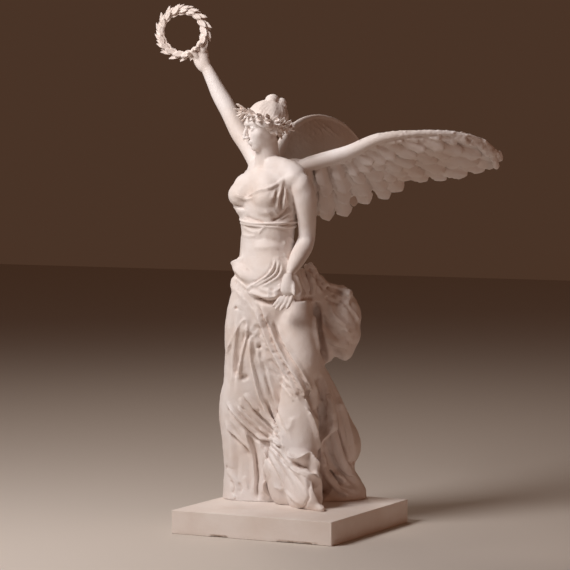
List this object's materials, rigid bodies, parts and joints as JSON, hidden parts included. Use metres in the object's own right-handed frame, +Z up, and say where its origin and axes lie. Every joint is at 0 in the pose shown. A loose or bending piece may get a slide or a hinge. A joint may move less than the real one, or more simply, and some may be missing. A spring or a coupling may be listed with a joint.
{
  "type": "winged victory statue",
  "caption": "Standing winged female figure in a long draped dress, one arm raised with a laurel wreath, on a low square plinth.",
  "frame": {"origin": "centre of the plinth's underside", "axes": "+Z up; the plinth's front face looks along -Y; +X is to the figure's left"},
  "size_m": [0.5074, 0.5, 0.7932],
  "materials": {
    "figure_marble": "honed white marble with fine tool texture",
    "plinth_marble": "sawn and rubbed white marble"
  },
  "bodies": {
    "root": {"figure": "figure_marble", "plinth": "plinth_marble"}
  },
  "joints": []
}
